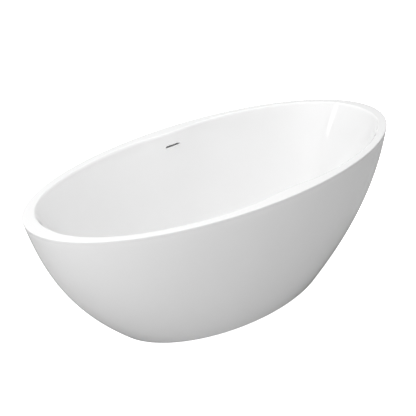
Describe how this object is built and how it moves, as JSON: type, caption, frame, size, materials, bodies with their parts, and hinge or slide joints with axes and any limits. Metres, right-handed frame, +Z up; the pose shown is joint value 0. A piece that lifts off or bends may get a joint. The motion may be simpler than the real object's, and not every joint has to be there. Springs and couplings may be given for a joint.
{
  "type": "freestanding bathtub",
  "caption": "Oval freestanding double-walled bathtub: deep basin in a tapered outer skirt, slot overflow, push-open waste, steel frame on screw feet.",
  "frame": {"origin": "on the floor, under the middle of the oval rim", "axes": "+X along the tub towards its steeper end, +Y towards the long wall with the overflow slot, +Z up"},
  "size_m": [1.7, 0.77, 0.575],
  "materials": {
    "basin_acrylic": "glossy white acrylic",
    "skirt_acrylic": "glossy white acrylic",
    "trim_white": "glossy white moulding",
    "plywood": "sealed plywood",
    "powder_coat": "dark satin powder coat",
    "zinc_steel": "zinc plated",
    "spring_steel": "bright wire",
    "pad_plastic": "moulded nylon",
    "chrome": "polished chrome plate",
    "rubber": "matt rubber",
    "white_plastic": "moulded white plastic",
    "grey_plastic": "moulded grey plastic",
    "brass": "turned brass"
  },
  "bodies": {
    "tub": {"inner_basin": "basin_acrylic", "outer_skirt": "skirt_acrylic", "base_board": "plywood", "frame_rail_front": "powder_coat", "frame_rail_rear": "powder_coat", "frame_crossbar_left": "powder_coat", "frame_crossbar_right": "powder_coat", "frame_weld_nuts": "zinc_steel", "frame_screws": "zinc_steel", "bracket_screws": "zinc_steel", "flange_screws": "zinc_steel", "foot_lock_nuts": "zinc_steel", "skirt_bracket_1": "powder_coat", "skirt_bracket_2": "powder_coat", "skirt_bracket_3": "powder_coat", "skirt_bracket_4": "powder_coat", "overflow_trim": "trim_white", "overflow_gasket": "rubber", "overflow_box": "white_plastic", "overflow_screws": "zinc_steel", "overflow_hose": "grey_plastic", "hose_nut_upper": "white_plastic", "hose_nut_lower": "white_plastic", "drain_flange": "chrome", "drain_flange_seal": "rubber", "drain_gasket": "rubber", "drain_body": "white_plastic", "tailpiece": "grey_plastic", "tailpiece_washer": "rubber", "tailpiece_nut": "white_plastic", "cartridge_sleeve": "brass", "cartridge_spring": "spring_steel"},
    "stopper": {"stopper_cap": "chrome", "stopper_seal": "rubber", "stopper_stem": "zinc_steel"},
    "pad_1": {"foot_pad_1": "pad_plastic"},
    "stud_1": {"foot_stud_1": "zinc_steel"},
    "pad_2": {"foot_pad_2": "pad_plastic"},
    "stud_2": {"foot_stud_2": "zinc_steel"},
    "pad_3": {"foot_pad_3": "pad_plastic"},
    "stud_3": {"foot_stud_3": "zinc_steel"},
    "pad_4": {"foot_pad_4": "pad_plastic"},
    "stud_4": {"foot_stud_4": "zinc_steel"}
  },
  "joints": [
    {"name": "stopper_lift", "type": "slide", "parent": "tub", "child": "stopper", "axis": [0, 0, 1], "range_m": [0, 0.01], "deforming": ["cartridge_spring"]},
    {"name": "foot_1_height", "type": "slide", "parent": "tub", "child": "pad_1", "axis": [0, 0, -1], "range_m": [0, 0.02]},
    {"name": "foot_1_turn", "type": "hinge", "parent": "pad_1", "child": "stud_1", "pos_m": [-0.33, -0.13, 0.05], "axis": [0, 0, -1], "range_deg": [0, 4120]},
    {"name": "foot_2_height", "type": "slide", "parent": "tub", "child": "pad_2", "axis": [0, 0, -1], "range_m": [0, 0.02]},
    {"name": "foot_2_turn", "type": "hinge", "parent": "pad_2", "child": "stud_2", "pos_m": [0.33, -0.13, 0.05], "axis": [0, 0, -1], "range_deg": [0, 4120]},
    {"name": "foot_3_height", "type": "slide", "parent": "tub", "child": "pad_3", "axis": [0, 0, -1], "range_m": [0, 0.02]},
    {"name": "foot_3_turn", "type": "hinge", "parent": "pad_3", "child": "stud_3", "pos_m": [0.33, 0.13, 0.05], "axis": [0, 0, -1], "range_deg": [0, 4120]},
    {"name": "foot_4_height", "type": "slide", "parent": "tub", "child": "pad_4", "axis": [0, 0, -1], "range_m": [0, 0.02]},
    {"name": "foot_4_turn", "type": "hinge", "parent": "pad_4", "child": "stud_4", "pos_m": [-0.33, 0.13, 0.05], "axis": [0, 0, -1], "range_deg": [0, 4120]}
  ],
  "couplings": [
    {"joint": "foot_1_turn", "follows": "foot_1_height", "rad_per_m": 3590.4},
    {"joint": "foot_2_turn", "follows": "foot_2_height", "rad_per_m": 3590.4},
    {"joint": "foot_3_turn", "follows": "foot_3_height", "rad_per_m": 3590.4},
    {"joint": "foot_4_turn", "follows": "foot_4_height", "rad_per_m": 3590.4}
  ]
}
